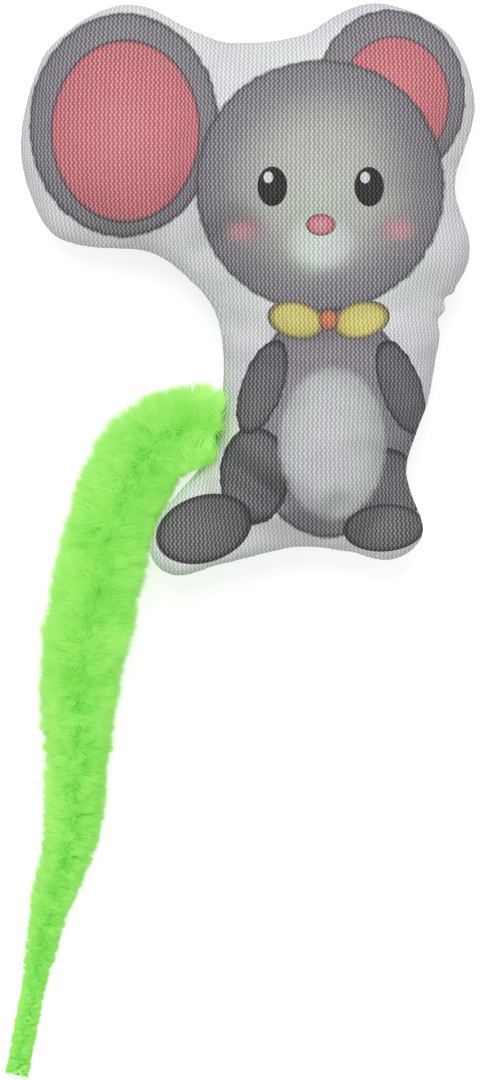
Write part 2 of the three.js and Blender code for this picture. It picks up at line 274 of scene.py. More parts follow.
def edge_shift(i):
    """How far the edge stands out at a point of the outline."""
    wave = EDGE_WAVE * noise.noise(outline[i] / EDGE_WAVE_SIZE)
    return wave + np.interp(i / SEAM_COUNT, step_at, step_out) * MM


outwards = []
for i in range(SEAM_COUNT):
    ahead = outline[(i + 1) % SEAM_COUNT] - outline[i - 1]
    outwards.append(Vector((-ahead.y, ahead.x, 0)).normalized())
shifts = [edge_shift(i) for i in range(SEAM_COUNT)]
outline = [point + out * shift for point, out, shift in zip(outline, outwards, shifts)]
print("edge stands out by", round(min(shifts) / MM, 2), "to", round(max(shifts) / MM, 2), "mm")

# %% [markdown]
# Cloth wrinkles freely only where its faces are even, so the cut is filled with a honeycomb of points and
# a Delaunay triangulation joins them. Front and back share the points of the seam, as if already sewn.

# %% Flat cloth, two layers
CLEAR_OF_SEAM = 0.6
FACES_INSIDE_ONLY = 1
TRIANGULATION_GRAIN = 1e-7


def is_inside(point):
    inside = False
    for a, b in zip(outline, outline[1:] + outline[:1]):
        crosses = (a.y > point.y) != (b.y > point.y)
        if crosses and point.x < a.x + (b.x - a.x) * (point.y - a.y) / (b.y - a.y):
            inside = not inside
    return inside


def to_seam(point):
    return min((point - p.xy).length for p in outline)


def honeycomb():
    """The outline's points, then even rows of points inside it."""
    points = [p.xy for p in outline]
    low, high = place(0, 0), place(1, 1)
    row_step = CLOTH_SPACING * math.sin(math.pi / 3)
    for row in range(int((high.y - low.y) / row_step)):
        shift = (row % 2) / 2
        for column in range(int((high.x - low.x) / CLOTH_SPACING)):
            x = low.x + (column + shift) * CLOTH_SPACING
            point = Vector((x, low.y + row * row_step))
            if is_inside(point) and to_seam(point) > CLEAR_OF_SEAM * CLOTH_SPACING:
                points.append(point)
    return points


seam_edges = [(i, (i + 1) % SEAM_COUNT) for i in range(SEAM_COUNT)]
flat = geometry.delaunay_2d_cdt(honeycomb(), seam_edges, [], FACES_INSIDE_ONLY, TRIANGULATION_GRAIN)
flat_points, flat_faces = flat[0], flat[2]
print("flat cloth:", len(flat_points), "points and", len(flat_faces), "triangles a layer")

# %% [markdown]
# Stuffing presses the cloth outwards from the inside. Blender's cloth does the same with pressure. It
# works best on things about a metre across, so the mouse is stuffed at ten times its size. The seam is
# held, because the outline is known, and the cloth is 8 percent larger than its cut, which makes the folds.

# %% Stuff the cushion
STUFFING_SCALE = 10
STUFFING_FRAMES = 26
SPARE_CLOTH = 0.08
START_GAP = 2 * MM
CLOTH_SETTINGS = {
    "quality": 6, "mass": 0.3, "bending_stiffness": 3, "shear_stiffness": 7.5, "air_damping": 2,
    "use_pressure": True, "uniform_pressure_force": 30, "shrink_min": -SPARE_CLOTH,
    "shrink_max": -SPARE_CLOTH, "vertex_group_mass": "seam",
}


def mesh_from(name, shape):
    """A finished bmesh as mesh data."""
    mesh = bpy.data.meshes.new(name)
    shape.to_mesh(mesh)
    shape.free()
    return mesh


def sewn_mesh():
    """Two layers of cloth on one seam, at the scale of the simulation."""
    cloth = bmesh.new()

    def corner(p, height):
        return cloth.verts.new(Vector((p.x, p.y, height)) * STUFFING_SCALE)

    front = [corner(p, 0.0 if i < SEAM_COUNT else START_GAP) for i, p in enumerate(flat_points)]
    back = front[:SEAM_COUNT] + [corner(p, -START_GAP) for p in flat_points[SEAM_COUNT:]]
    for a, b, c in flat_faces:
        cloth.faces.new((front[a], front[b], front[c]))
        cloth.faces.new((back[c], back[b], back[a]))
    return mesh_from("sewn_cloth", cloth)


def stuffed_points():
    """Where each point of the cloth lies after stuffing, back at real size."""
    sewn = linked("sewn_cloth", sewn_mesh())
    sewn.vertex_groups.new(name="seam").add(list(range(SEAM_COUNT)), 1.0, "REPLACE")
    cloth = sewn.modifiers.new("stuffing", "CLOTH")
    cloth.collision_settings.use_collision = False
    cloth.point_cache.frame_end = STUFFING_FRAMES
    for name, value in CLOTH_SETTINGS.items():
        setattr(cloth.settings, name, value)
    cloth.settings.effector_weights.gravity = 0
    for step in range(1, STUFFING_FRAMES + 1):
        bpy.context.scene.frame_set(step)
    stuffed = sewn.evaluated_get(bpy.context.evaluated_depsgraph_get()).to_mesh()
    points = np.array([v.co for v in stuffed.vertices]) / STUFFING_SCALE
    bpy.data.objects.remove(sewn)
    bpy.context.scene.frame_set(1)
    return points


stuffed = stuffed_points()
front_points = stuffed[: len(flat_points)]
back_points = np.vstack([stuffed[:SEAM_COUNT], stuffed[len(flat_points):]])
print("stuffed: crown", round(front_points[:, 2].max() / MM, 1), "mm over the seam")

# %% [markdown]
# The simulation doesn't know how hard each part is stuffed, but the CAD solid does. Both heights are
# smoothed until only their broad swell is left. Their ratio then makes each part as thick as in the
# CAD model, and leaves the folds alone.

# %% Give each part its thickness
BROAD, FINE = 60, 2
FAR = 50 * MM
edges = {tuple(sorted(pair)) for a, b, c in flat_faces for pair in ((a, b), (b, c), (c, a))}
edge_starts, edge_ends = np.array(sorted(edges)).T


def blurred(values, rounds):
    """Values on the cloth's points, averaged with their neighbours a number of times."""
    values = values.copy()
    for _ in range(rounds):
        total, count = values.copy(), np.ones(len(values))
        for own, other in ((edge_starts, edge_ends), (edge_ends, edge_starts)):
            np.add.at(total, own, values[other])
            np.add.at(count, own, 1)
        values = total / count
    return values


def cad_heights(node, points):
    """How far a CAD panel stands over the seam's level at each point."""
    mesh = nodes[node].data
    tree = BVHTree.FromPolygons([v.co for v in mesh.vertices], [p.vertices for p in mesh.polygons])
    heights = []
    for x, y, _ in points:
        hit = tree.ray_cast(Vector((x, y, SEAM_HEIGHT + FAR)), Vector((0, 0, -1)))[0]
        heights.append(abs(hit.z - SEAM_HEIGHT) if hit else 0.0)
    return np.array(heights)


swell = cad_heights("front_panel", front_points)
for points in (front_points, back_points):
    for i in range(3):
        points[SEAM_COUNT:, i] = blurred(points[:, i], FINE)[SEAM_COUNT:]
fullness = blurred(swell, BROAD) / blurred(front_points[:, 2], BROAD)
fullness *= swell.max() / (front_points[:, 2] * fullness).max()
front_points[:, 2] *= fullness
back_points[:, 2] *= fullness
print("fullness:", round(fullness.min(), 2), "to", round(fullness.max(), 2))

# %% [markdown]
# The tail pulls at the hip, where a fold runs from the seam into the cloth, and the leg swells beside it.
# Lesser folds run under the left ear and between the feet. Each is a valley in the front along a line that
# is written in the flat cloth's own places.

# %% Folds at the seam
FOLDS = [
    # start, end, how deep as a share of the height, how wide
    ((-23.5, -8.5), (-12.5, -15.5), 0.42, 2.6),
    ((-29.5, 36.5), (-20.5, 42.5), 0.2, 3.0),
    ((-2.0, -24.5), (1.0, -18.0), 0.2, 2.2),
]
SWELL_BESIDE = 0.3
SWELL_AWAY = 2


def folded(point):
    """What share of its height the front keeps at a point of the flat cloth."""
    kept = 1.0
    for start, end, depth, width in FOLDS:
        start, end = Vector(start) * MM, Vector(end) * MM
        share = geometry.intersect_point_line(point, start, end)[1]
        near = start.lerp(end, min(max(share, 0), 1))
        away = (point - near.xy).length / (width * MM)
        kept -= depth * (math.exp(-away**2) - SWELL_BESIDE * math.exp(-(away - SWELL_AWAY)**2))
    return kept


front_points[:, 2] *= np.array([folded(point) for point in flat_points])
print(len(FOLDS), "folds, crown now", round(front_points[:, 2].max() / MM, 1), "mm over the seam")

# %% [markdown]
# Lying on its back, the mouse is flat where it rests. A soft minimum bends the cloth into the floor's
# plane without a sharp rim.

# %% Lay it down
REST_SOFTNESS = 1.2 * MM

front_points[:, 2] += SEAM_HEIGHT
back_points[:, 2] = REST_SOFTNESS * np.logaddexp(0, (back_points[:, 2] + SEAM_HEIGHT) / REST_SOFTNESS)
back_points[:SEAM_COUNT, 2] = SEAM_HEIGHT
print("back lies at", round(back_points[:, 2].min() / MM, 2), "mm")

# %% [markdown]
# Two covers meet in the seam. Each is a sheet with a wall inwards: Solidify gives the cloth its thickness,
# and Subdivision Surface rounds the triangles. The flat place of each point is kept as a UV map in
# decimetres, so that knit and print follow the cloth over every fold.

# %% Cut the covers
CLOTH_THICKNESS = 0.7 * MM
UV_UNIT = 0.1


def cover(name, points, upwards):
    shape = bmesh.new()
    verts = [shape.verts.new(p) for p in points]
    for a, b, c in flat_faces:
        corners = (verts[a], verts[b], verts[c])
        shape.faces.new(corners if upwards else corners[::-1])
    shape.verts.index_update()
    layer = shape.loops.layers.uv.new("cloth")
    for face in shape.faces:
        face.smooth = True
        for loop in face.loops:
            loop[layer].uv = flat_points[loop.vert.index] / UV_UNIT
    piece = linked(name, mesh_from(name, shape))
    wall = piece.modifiers.new("cloth thickness", "SOLIDIFY")
    wall.thickness = CLOTH_THICKNESS
    wall.offset = -1
    rounding = piece.modifiers.new("rounding", "SUBSURF")
    rounding.levels = rounding.render_levels = 1
    return piece


front_cover = cover("front_cover", front_points, True)
back_cover = cover("back_cover", back_points, False)
print("covers:", len(front_cover.data.polygons), "triangles each, before rounding")

# %% [markdown]
# The stuffing is loose fibre in seven lumps: head, two ears, two halves of the belly round the catnip
# pouch, and two feet. Each lump starts as the space inside the covers and is cut by upright planes, as the
# CAD model's are. A Boolean then leaves room for the pouch.

# %% Space inside the covers
STUFFING_INSET = 3.2 * MM
STUFFING_DROP = 1.5 * MM
PART_GAP = 0.3 * MM
CUT_SHARES = {
    "left_ear": ((0.3, 0.55), (0.46, 0.94)),
    "right_ear": ((0.6, 0.96), (0.97, 0.69)),
    "belly": ((0.95, 0.475), (0.4, 0.475)),
    "left_foot": ((0.588, 0.043), (0.401, 0.206)),
    "right_foot": ((0.855, 0.192), (0.61, 0.043)),
}
deep_points = [i for i, p in enumerate(flat_points) if to_seam(p) > STUFFING_INSET]


def inner_space():
    """A closed bmesh of the space inside the covers, short of the seam."""
    space = bmesh.new()

    def layer(points, drop):
        return {i: space.verts.new(Vector(points[i]) + Vector((0, 0, drop))) for i in deep_points}

    top = layer(front_points, -STUFFING_DROP)
    bottom = layer(back_points, STUFFING_DROP)
    for face in flat_faces:
        if all(i in top for i in face):
            space.faces.new([top[i] for i in face])
            space.faces.new([bottom[i] for i in face[::-1]])
    space.edges.ensure_lookup_table()
    bmesh.ops.bridge_loops(space, edges=[e for e in space.edges if len(e.link_faces) == 1])
    loose = [v for v in space.verts if not v.link_faces]
    bmesh.ops.delete(space, geom=loose, context="VERTS")
    bmesh.ops.recalc_face_normals(space, faces=space.faces)
    return space


def cut(space, spot, direction):
    """Cuts a bmesh by a plane and drops what lies in that direction."""
    geom = space.verts[:] + space.edges[:] + space.faces[:]
    return bmesh.ops.bisect_plane(space, geom=geom, plane_co=spot, plane_no=direction, clear_outer=True)


def halved(space, spot, direction):
    """Cuts a closed bmesh by a plane and closes the cut."""
    edge = cut(space, spot, direction)["geom_cut"]
    rim = [e for e in edge if isinstance(e, bmesh.types.BMEdge) and e.is_valid]
    bmesh.ops.triangle_fill(space, edges=rim, use_beauty=True)


def beside(space, cut_name, keep_left):
    """Keeps what lies to one side of a named cut."""
    start, end = (place(*shares) for shares in CUT_SHARES[cut_name])
    ahead = (end - start).normalized()
    left = Vector((-ahead.y, ahead.x, 0))
    drop = -left if keep_left else left
    halved(space, start - drop * PART_GAP / 2, drop)


# %% Lumps of stuffing
LUMPS = {
    "head": [("belly", False), ("left_ear", False), ("right_ear", False)],
    "left_ear": [("belly", False), ("left_ear", True)],
    "right_ear": [("belly", False), ("right_ear", True)],
    "belly_front": [("belly", True), ("left_foot", False), ("right_foot", False)],
    "belly_back": [("belly", True), ("left_foot", False), ("right_foot", False)],
    "left_foot": [("belly", True), ("left_foot", True)],
    "right_foot": [("belly", True), ("right_foot", True)],
}
SEAM_ALLOWANCE = 0.6 * MM
SAME_POINT = 0.01 * MM
POUCH_DIAMETER = 30 * MM
POUCH_THICKNESS = 9 * MM
POUCH_ROOM = 0.5 * MM
ROOM_DETAIL = 4


def flat_ball(larger, detail):
    """A ball pressed flat in the middle of the belly: the pouch's shape, made larger or smaller."""
    ball = bmesh.new()
    bmesh.ops.create_icosphere(ball, subdivisions=detail, radius=0.5)
    width, thickness = POUCH_DIAMETER + larger, POUCH_THICKNESS + larger
    bmesh.ops.scale(ball, verts=ball.verts, vec=(width, width, thickness))
    bmesh.ops.translate(ball, verts=ball.verts, vec=(0, 0, SEAM_HEIGHT))
    return ball


def applied(piece):
    """The mesh that an object shows, with its modifiers or its bevel worked in."""
    bpy.context.view_layer.update()
    return bpy.data.meshes.new_from_object(piece.evaluated_get(bpy.context.evaluated_depsgraph_get()))


pouch_room = linked("pouch_room", mesh_from("pouch_room", flat_ball(POUCH_ROOM, ROOM_DETAIL)))
lumps = {}
for name, cuts in LUMPS.items():
    space = inner_space()
    for cut_name, keep_left in cuts:
        beside(space, cut_name, keep_left)
    if name == "belly_front":
        halved(space, (0, 0, SEAM_HEIGHT + SEAM_ALLOWANCE), (0, 0, -1))
    if name == "belly_back":
        halved(space, (0, 0, SEAM_HEIGHT - SEAM_ALLOWANCE), (0, 0, 1))
    bmesh.ops.remove_doubles(space, verts=space.verts, dist=SAME_POINT)
    bmesh.ops.recalc_face_normals(space, faces=space.faces)
    lump = linked(name + "_filling", mesh_from(name + "_filling", space))
    if name.startswith("belly"):
        room = lump.modifiers.new("room for the pouch", "BOOLEAN")
        room.operation = "DIFFERENCE"
        room.object = pouch_room
        hollowed = applied(lump)
        lump.modifiers.clear()
        lump.data = hollowed
    lumps[name] = lump
    print(name, "filling:", len(lump.data.polygons), "faces")
bpy.data.objects.remove(pouch_room)

# %% [markdown]
# The knit is a web of vertical zigzag threads. Ink reaches the grooves between them more than the raised
# threads, so on dark areas the threads show as pale zigzags. One height field drives both the colour and
# the bump, and in the colour the grooves carry painted shade.

# %% Knit
COLUMN_PITCH = 0.93 * MM
ZIGZAG_PERIOD = 1.27 * MM
ZIGZAG_REACH = 0.24 * MM
UNEVEN_SIZE, UNEVEN_SHIFT = 40, 0.0022
BEAD_SHARE = 0.2
THREAD_SLOPE, THREAD_MIDDLE, THREAD_THINNESS = 0.42, 0.5, 1.35
GLINT_SIZE, GLINT_LEAST, GLINT_MORE = 90, 0.8, 0.5
KNIT_BUMP = (0.12 * MM, 0.6)
CLOTH_SURFACE = {"Roughness": 0.9, "Sheen_Weight": 0.1}


def knit(recipe):
    """How far a point lies up a thread: 0 in a groove and 1 on top."""
    cloth_place = recipe.add("UVMap", {"uv_map": "cloth"}).outputs["UV"]
    uneven = recipe.noise(cloth_place, UNEVEN_SIZE, 2, 0.6, "Color")
    uneven = recipe.vector("SUBTRACT", uneven, (0.5,) * 3)
    shifted = recipe.vector("ADD", cloth_place, recipe.vector("MULTIPLY", uneven, (UNEVEN_SHIFT,) * 3))
    parts = recipe.add("SeparateXYZ", None, Vector=shifted).outputs
    rise = recipe.math("MULTIPLY", parts["Y"], UV_UNIT / ZIGZAG_PERIOD)
    swing = recipe.math("PINGPONG", rise, 0.5)
    shift = recipe.math("MULTIPLY", swing, 4 * ZIGZAG_REACH / COLUMN_PITCH)
    column = recipe.math("MULTIPLY_ADD", parts["X"], UV_UNIT / COLUMN_PITCH, shift)
    wave = recipe.math("COSINE", recipe.math("MULTIPLY", column, 2 * math.pi))
    bead = recipe.math("COSINE", recipe.math("MULTIPLY", rise, 4 * math.pi))
    beaded = recipe.math("MULTIPLY_ADD", bead, BEAD_SHARE, wave)
    rounded = recipe.math("MULTIPLY_ADD", beaded, THREAD_SLOPE, THREAD_MIDDLE)
    thin = recipe.math("POWER", recipe.math("MAXIMUM", rounded, 0.0), THREAD_THINNESS)
    glint = recipe.noise(cloth_place, GLINT_SIZE, 1)
    return recipe.math("MULTIPLY", thin, recipe.math("MULTIPLY_ADD", glint, GLINT_MORE, GLINT_LEAST))


def yarn_and_groove_shade(recipe, height):
    """The undyed cloth: white threads, with painted shade in the grooves between them."""
    return recipe.blend(height, linear(190, 193, 196), linear(244, 245, 246))


plain = Recipe("plain_knit")
plain_height = knit(plain)
plain.bump(plain_height, *KNIT_BUMP)
back_cover.data.materials.append(plain.finish(yarn_and_groove_shade(plain, plain_height), **CLOTH_SURFACE))
print("knit:", round(10 * MM / COLUMN_PITCH, 1), "columns to the centimetre")

# %% [markdown]
# The print is a plain mouse of our own drawing, in greys and pinks, made of soft-edged ovals. For each
# oval a Mapping node turns the place, a product makes the oval a circle, and a colour ramp runs from its
# middle to its rim. A little noise in the place gives fur its ragged edge.

# %% Inks
FUR = [(0.0, (166, 162, 164)), (0.6, (142, 134, 142)), (0.93, (122, 114, 124)), (0.975, (64, 58, 67))]
HEAD = [
    (0.0, (212, 216, 202)), (0.42, (196, 198, 186)), (0.78, (138, 132, 139)), (0.94, (118, 111, 121)),
    (0.98, (62, 56, 65)),
]
LIMB = [(0.0, (100, 95, 100)), (0.8, (88, 82, 90)), (0.94, (44, 40, 47))]
PINK = [(0.0, (240, 126, 134)), (0.6, (232, 108, 118)), (0.93, (222, 98, 110)), (0.975, (74, 46, 56))]
PALE = [(0.0, (240, 243, 240)), (0.6, (224, 229, 224)), (1.0, (182, 187, 184))]
BLUSH = [(0.0, (222, 150, 156)), (1.0, (160, 140, 144))]
DARK = [(0.0, (30, 24, 28)), (1.0, (16, 12, 16))]
GLINT = [(0.0, (252, 253, 255)), (1.0, (240, 244, 248))]
NOSE = [(0.0, (244, 158, 168)), (0.7, (226, 116, 130)), (0.95, (120, 56, 70))]
BOW = [(0.0, (250, 242, 120)), (0.7, (240, 224, 92)), (0.92, (116, 96, 44))]
KNOT = [(0.0, (240, 138, 66)), (0.7, (226, 108, 48)), (0.94, (110, 54, 34))]

# %% [markdown]
# The print is drawn in units of its own, with x to the right and y down, as on a sheet of paper. One value
# turns them into metres.

# %% Ovals of the print
DRAWING_UNIT = 0.2222 * MM
DRAWING_ORIGIN = (332, 420)
SHARP, SOFT, CLOUDY = 0.03, 0.12, 0.6

# Each oval: its middle, half its width and height, its turn in degrees, its ink, how soft its rim is and
# whether its rim is ragged as fur
OVALS = [
    ((124, 126), (96, 114), 0, FUR, SHARP, True),
    ((390, 97), (76, 88), 0, FUR, SHARP, True),
    ((126, 133), (76, 93), 0, PINK, SHARP, False),
    ((394, 103), (56, 66), 0, PINK, SHARP, False),
    ((330, 424), (88, 116), 0, FUR, SHARP, True),
    ((254, 476), (35, 50), 0, LIMB, SHARP, True),
    ((388, 490), (34, 42), 0, LIMB, SHARP, True),
    ((332, 444), (56, 80), 0, PALE, SOFT, True),
    ((204, 529), (50, 34), -18, LIMB, SHARP, False),
    ((384, 528), (42, 24), -4, LIMB, SHARP, False),
    ((320, 188), (126, 128), 0, HEAD, SHARP, True),
    ((320, 246), (48, 38), 0, PALE, CLOUDY, True),
    ((244, 232), (26, 18), 0, BLUSH, CLOUDY, True),
    ((396, 232), (26, 18), 0, BLUSH, CLOUDY, True),
    ((272, 190), (15, 20), 0, DARK, SHARP, False),
    ((368, 190), (15, 20), 0, DARK, SHARP, False),
    ((268, 181), (5, 6), 0, GLINT, SOFT, False),
    ((364, 181), (5, 6), 0, GLINT, SOFT, False),
    ((320, 228), (15, 11), 0, NOSE, SHARP, False),
    ((262, 388), (21, 50), 20, LIMB, SHARP, True),
    ((400, 388), (21, 50), -20, LIMB, SHARP, True),
    ((296, 322), (30, 19), 15, BOW, SHARP, False),
    ((360, 322), (30, 19), -15, BOW, SHARP, False),
    ((328, 322), (10, 11), 0, KNOT, SHARP, False),
]
print("print:", len(OVALS), "ovals")

# %% Lay the print on the cloth
FUR_SIZE = 450
FUR_REACH = 1.2 * MM

printed = Recipe("printed_knit")
height = knit(printed)
from_above = printed.place()
fur_noise = printed.noise(from_above, FUR_SIZE, 2, 0.6, "Color")
shake = printed.vector("MULTIPLY", printed.vector("SUBTRACT", fur_noise, (0.5,) * 3), (FUR_REACH,) * 3)
ragged = printed.vector("ADD", from_above, shake)


def oval(ink, middle, size, turn, stops, softness, furry):
    """Lays one oval over the ink so far."""
    x = (middle[0] - DRAWING_ORIGIN[0]) * DRAWING_UNIT
    y = (DRAWING_ORIGIN[1] - middle[1]) * DRAWING_UNIT
    centred = printed.vector("SUBTRACT", ragged if furry else from_above, (x, y, 0))
    turned = printed.moved(centred, turn=math.radians(turn))
    per_size = (1 / (size[0] * DRAWING_UNIT), 1 / (size[1] * DRAWING_UNIT), 0)
    reach = printed.vector("LENGTH", printed.vector("MULTIPLY", turned, per_size))
    colour = printed.ramp(reach, seen(stops))
    rim = {"Value": reach, "From Min": 1.0, "From Max": 1.0 - softness}
    inner = printed.add("MapRange", {"interpolation_type": "SMOOTHSTEP"}, **rim)
    return printed.blend(inner.outputs["Result"], ink, colour)


ink = grey(1.0)
for facts in OVALS:
    ink = oval(ink, *facts)

# %% [markdown]
# Thin ink stays in the grooves and leaves the threads pale, and dense ink colours both. So the darker the
# ink is, the less the threads show. Slow noise makes the ink uneven, as it is on cheap cloth.

# %% Ink into cloth
PATCH_SIZE = 45
PATCH_TINTS = [(0.3, (0.9, 0.84, 0.92, 1)), (0.5, (1, 0.98, 1, 1)), (0.7, (1.02, 1.1, 0.98, 1))]
BARE_SLOPE, BARE_LEAST, BARE_MOST = 2.0, 0.06, 0.29

tint = printed.ramp(printed.noise(from_above, PATCH_SIZE, 3, 0.6), PATCH_TINTS)
shaded = printed.blend(1.0, ink, tint, "MULTIPLY")
density = printed.add("RGBToBW", None, Color=shaded).outputs["Val"]
bare = printed.math("MINIMUM", printed.math("MULTIPLY_ADD", density, BARE_SLOPE, BARE_LEAST), BARE_MOST)
ink_share = printed.math("SUBTRACT", 1.0, printed.math("MULTIPLY", height, bare))
# White cloth, with painted shade in its grooves
white_and_groove_shade = yarn_and_groove_shade(printed, height)
inked = printed.blend(1.0, white_and_groove_shade, shaded, "MULTIPLY")
printed.bump(height, *KNIT_BUMP)
front_cover.data.materials.append(printed.finish(printed.blend(ink_share, white_and_groove_shade, inked), **CLOTH_SURFACE))
print("printed cloth:", len(printed.tree.nodes), "nodes in its material")

# %% [markdown]
# The filling is crimped polyester fibre, a white cloud without a clear edge. Strand by strand it would take
# millions of faces that nobody sees, so noise gives the lumps their fluff, as colour and as a bump.

# %% Fibre
fibre = Recipe("fibre_fill")
fluff = fibre.noise(fibre.moved(fibre.place(), scale=(1, 1, 3)), 700, 5, 0.7)
fibre.bump(fluff, 0.6 * MM, 0.8)
fibre_color = fibre.blend(fluff, linear(218, 219, 214), linear(250, 250, 247))
fibre_fill = fibre.finish(fibre_color, Roughness=1.0, Sheen_Weight=0.3)
print("fibre: one look for", len(lumps), "lumps")


# %% Hand stuffing and covers to the frame
def stands_for(piece, node, body="mouse"):
    """Puts a piece on one body and hides the CAD node that it shows."""
    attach(piece, body)
    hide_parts(node)


for name, lump in lumps.items():
    lump.data.materials.append(fibre_fill)
    node = name.replace("belly_", "belly_stuffing_") if "belly" in name else name + "_stuffing"
    stands_for(lump, node)
stands_for(front_cover, "front_panel")
stands_for(back_cover, "back_panel")
print("handed over:", len(lumps), "lumps and two covers")

# %% [markdown]
# The tail is plush: fine fibres stand out from a cord on all sides. Its middle line leaves the seam and
# comes down to the floor.

# %% Line of the tail
TAIL_LENGTH = 161 * MM
PILE_RADIUS = 10 * MM
DROP_LENGTH = 34 * MM
REST_DEPTH = 0.5 * MM
CORE_DIAMETER = 1.8 * MM
TAIL_ROUTE_SHARES = [
    (0, 0), (-0.039, 0.003), (-0.09, -0.026), (-0.125, -0.08), (-0.146, -0.138),
    (-0.162, -0.214), (-0.178, -0.29), (-0.189, -0.373), (-0.191, -0.47), (-0.201, -0.568),
    (-0.226, -0.651), (-0.249, -0.756), (-0.276, -0.895),
]
TAPER_SHARES = [
    (0, 0.92), (0.06, 1.06), (0.16, 1.07), (0.25, 1.07), (0.34, 1.06), (0.42, 1.02), (0.55, 0.78),
    (0.68, 0.64), (0.75, 0.5), (0.88, 0.3), (1, 0.29),
]
LINE_SPACING = 0.5 * MM
RADIUS_SAMPLES = 20

tail_root = place(*OUTLINE_SHARES[0])
route = [tail_root + Vector((x, y, 0)) * TAIL_LENGTH for x, y in TAIL_ROUTE_SHARES]
line = np.array([list(p) for p in curve_through(route, False, LINE_SPACING)])
distances = np.linspace(0, TAIL_LENGTH, len(line))
taper_at, taper_radius = np.array(TAPER_SHARES).T


def eased(values, start, end):
    """From 0 at the start to 1 at the end, smoothly."""
    share = np.clip((values - start) / (end - start), 0, 1)
    return share * share * (3 - 2 * share)


def pile_radius(distance):
    return np.interp(distance / TAIL_LENGTH, taper_at, taper_radius) * PILE_RADIUS


def mean_radius(start, end):
    return pile_radius(np.linspace(start, end, RADIUS_SAMPLES)).mean()


resting = np.minimum(pile_radius(distances), PILE_RADIUS) - REST_DEPTH
line[:, 2] = SEAM_HEIGHT + (resting - SEAM_HEIGHT) * eased(distances, 0, DROP_LENGTH)
along = np.gradient(line, axis=0)
along /= np.linalg.norm(along, axis=1)[:, None]
side = np.cross((0, 0, 1), along)
side /= np.linalg.norm(side, axis=1)[:, None]
up = np.cross(along, side)


def on_line(values, distance):
    """A column of values along the tail, read between its points."""
    return np.stack([np.interp(distance, distances, values[:, i]) for i in range(3)], axis=1)


def away_from_line(distance, angle):
    """Directions square to the tail's middle line, at an angle round it."""
    sideways, upward = on_line(side, distance), on_line(up, distance)
    return sideways * np.cos(angle)[:, None] + upward * np.sin(angle)[:, None]


print("tail:", len(line), "points, root at", [round(x / MM, 1) for x in line[0]], "mm")


# %% [markdown]
# One tuft is modelled and then repeated. It is a three-sided blade, wide at its root and closed at its
# tip, four triangles in all. Anything finer would be wasted on a blade half a millimetre wide at its root.

# %% One tuft
def tuft_shape():
    """A tuft one unit tall and one unit wide at its root: its points and its faces."""
    shape = bmesh.new()
    bmesh.ops.create_cone(shape, cap_ends=True, segments=3, radius1=0.5, radius2=0.0, depth=1.0)
    bmesh.ops.translate(shape, verts=shape.verts, vec=(0, 0, 0.5))
    bmesh.ops.remove_doubles(shape, verts=shape.verts, dist=0.01)
    bmesh.ops.triangulate(shape, faces=shape.faces)
    bmesh.ops.recalc_face_normals(shape, faces=shape.faces)
    shape.verts.index_update()
    points = np.array([v.co for v in shape.verts])
    faces = np.array([[v.index for v in f.verts] for f in shape.faces])
    shape.free()
    return points, faces


tuft_points, tuft_faces = tuft_shape()
print("one tuft:", len(tuft_points), "points,", len(tuft_faces), "triangles")

# %% [markdown]
# Such a tail is made by twisting cut yarn between two cords, so its pile stands in ridges that run round
# the tail, and the edge of the tail is toothed. Here a smooth noise, fine along the tail and slow round it,
# tells how long each tuft is. Tufts also lean towards the ridge that they are nearest to, which opens the
# grooves between the ridges, and neighbours stray together and meet in small locks.

# %% Helpers for the pile
FUR_OVER_CLOTH = 0.4 * MM
SEED_STEP = (17.3, 5.1, 9.7)


def wavy(points, size, seed):
    """A smooth random value from -1 to 1 at each point."""
    shift = Vector([seed * step for step in SEED_STEP])
    return np.array([noise.noise(Vector(p) / size + shift) for p in points])


def cover_tree():
    """Both covers as one surface that tufts can be tested against."""
    points = [Vector(p) for p in np.vstack([front_points, back_points])]
    shift = len(front_points)
    faces = [list(f) for f in flat_faces] + [[c + shift, b + shift, a + shift] for a, b, c in flat_faces]
    return BVHTree.FromPolygons(points, faces)


covers = cover_tree()


def kept_out(points):
    """Points that lie inside the cushion, moved out onto it."""
    for i, point in enumerate(points):
        leaving = covers.ray_cast(Vector(point), Vector((0, 0, 1)))[1]
        if leaving and leaving.z > 0:
            spot, normal, _, _ = covers.find_nearest(Vector(point))
            points[i] = spot + normal * FUR_OVER_CLOTH
    return points


# %% Ridges and locks
RIDGE_SIZE = 2.1 * MM
RIDGE_SPREAD = 4.5 * MM
LOCK_SIZE = 1.6 * MM
LOCK_STRENGTH = (0.1, 0.55)


def ridge(distance, angle):
    """The height of the ridges of pile at a place on the tail, from -1 to 1."""
    spot = np.stack([distance, RIDGE_SPREAD * np.cos(angle), RIDGE_SPREAD * np.sin(angle)], axis=1)
    return wavy(spot, RIDGE_SIZE, 1)


def locks(surface, start, end, chance):
    """For each tuft, the middle of the lock of pile it belongs to and how much it leans to it."""
    margin = 2 * LOCK_SIZE
    area = (end - start + 2 * margin) * 2 * math.pi * mean_radius(start, end)
    count = int(area / LOCK_SIZE**2)
    distance = chance.uniform(start - margin, end + margin, count)
    angle = chance.uniform(0, 2 * math.pi, count)
    middles = on_line(line, distance) + away_from_line(distance, angle) * pile_radius(distance)[:, None]
    tree = KDTree(count)
    for i, middle in enumerate(middles):
        tree.insert(middle, i)
    tree.balance()
    own = np.array([tree.find(point)[1] for point in surface])
    strengths = chance.uniform(*LOCK_STRENGTH, count)
    return middles[own], strengths[own]


# %% Length of the tufts, as shares of the radius
TUFT_LENGTH, LENGTH_SPREAD = 0.94, 0.1
RIDGE_DEPTH, RIDGE_LOSS_BY_FOOT = 0.14, 0.45
PUFF_DEPTH = 0.1
INNER_TRIM = 0.03
CURL_ENDS = (30 * MM, 55 * MM)


